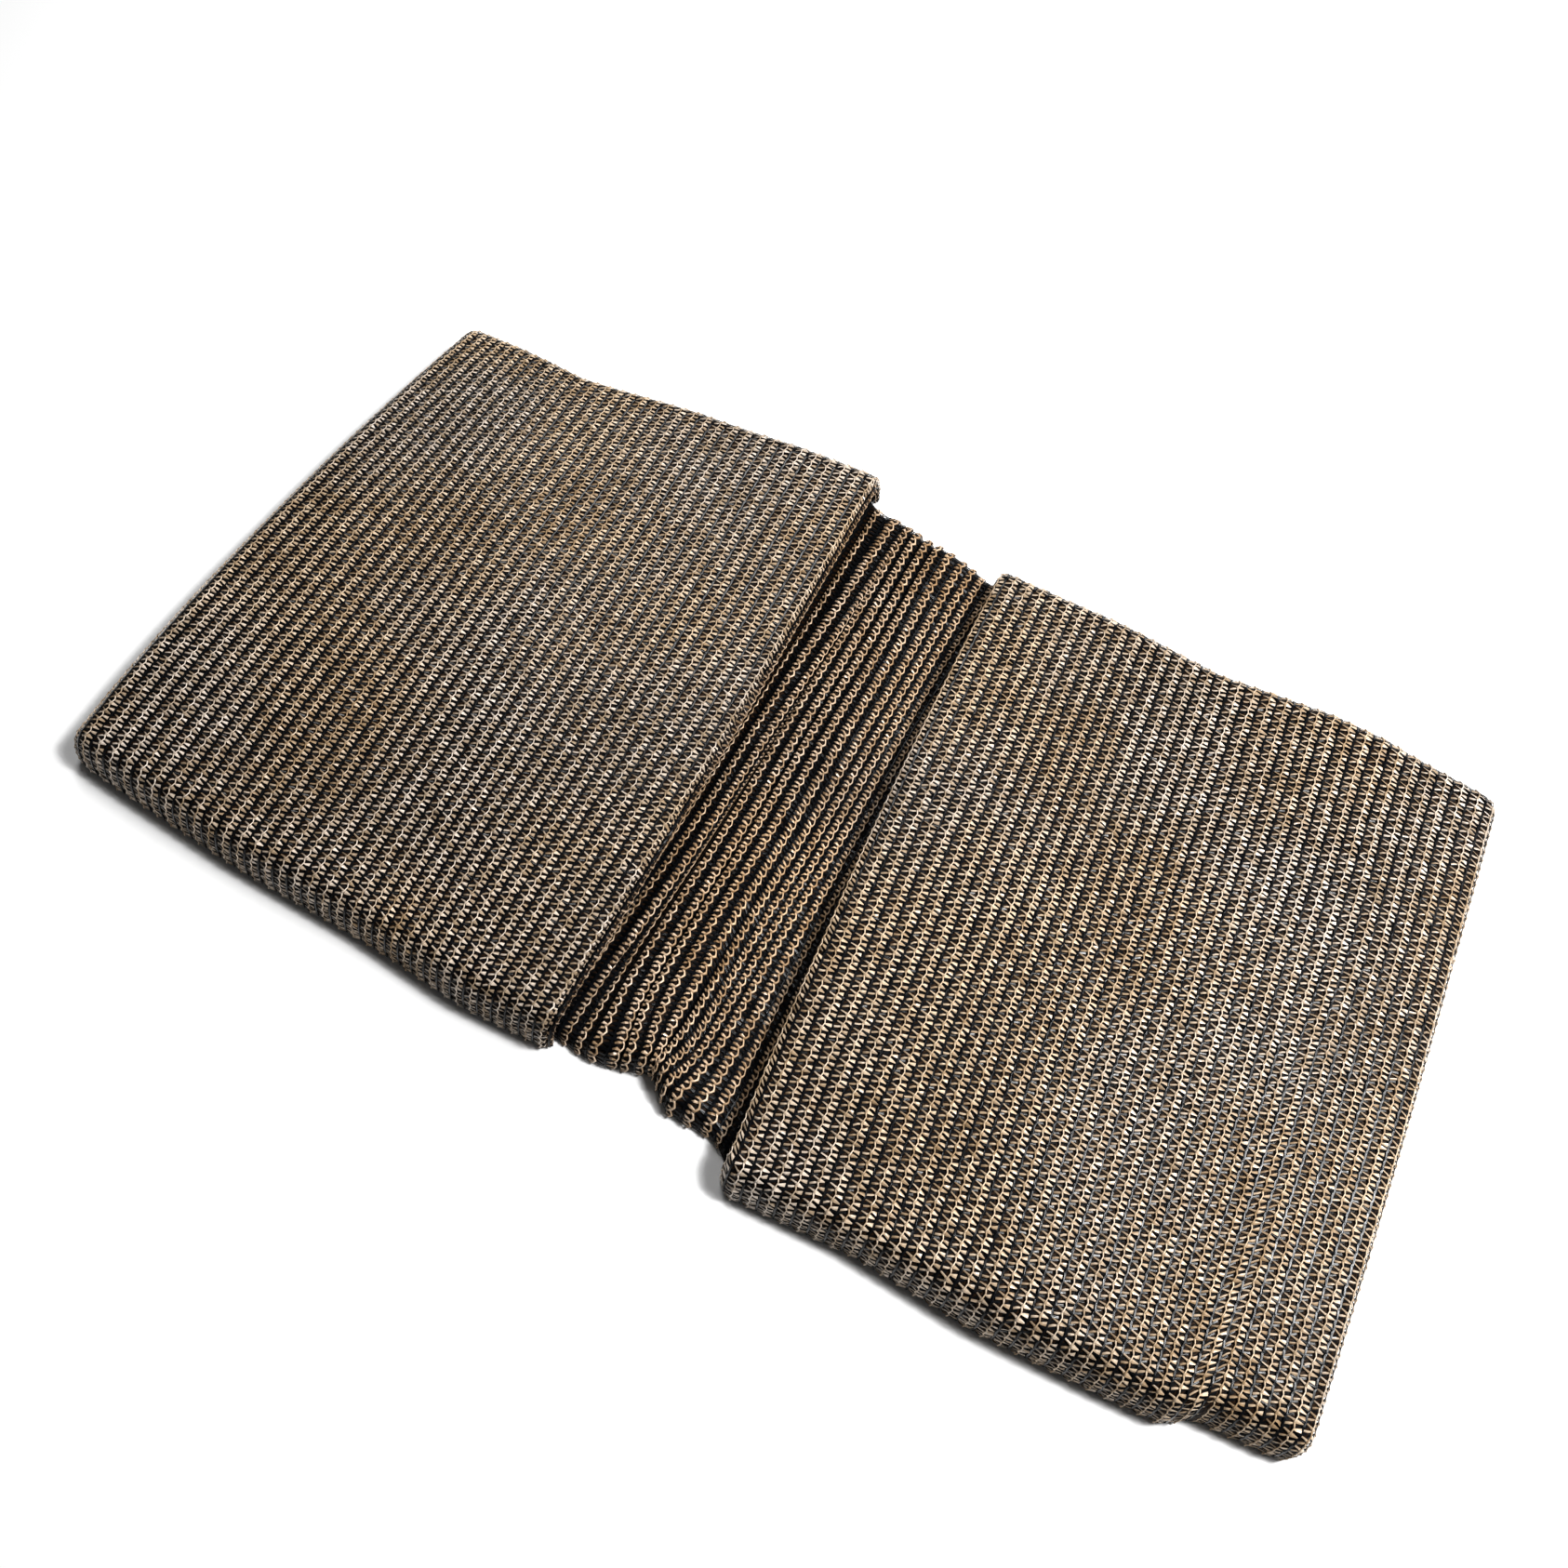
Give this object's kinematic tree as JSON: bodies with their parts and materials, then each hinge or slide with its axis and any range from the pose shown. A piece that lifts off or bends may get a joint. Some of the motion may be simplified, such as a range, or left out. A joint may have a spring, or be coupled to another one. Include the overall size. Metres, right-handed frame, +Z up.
{
  "type": "folded shade net",
  "caption": "Knitted shade net in sand and black stripes, folded flat into a long bundle with both ends turned in over the middle",
  "frame": {"origin": "middle of the underside of the folded bundle, on the surface it rests on", "axes": "+X along the bundle's long side towards the rounded panel, +Y across it, away from the viewer, +Z up"},
  "size_m": [0.563, 0.3228, 0.0235],
  "materials": {
    "knit": "sand and black plastic tape knit, slightly glossy"
  },
  "bodies": {
    "root": {"net": "knit"}
  },
  "joints": []
}
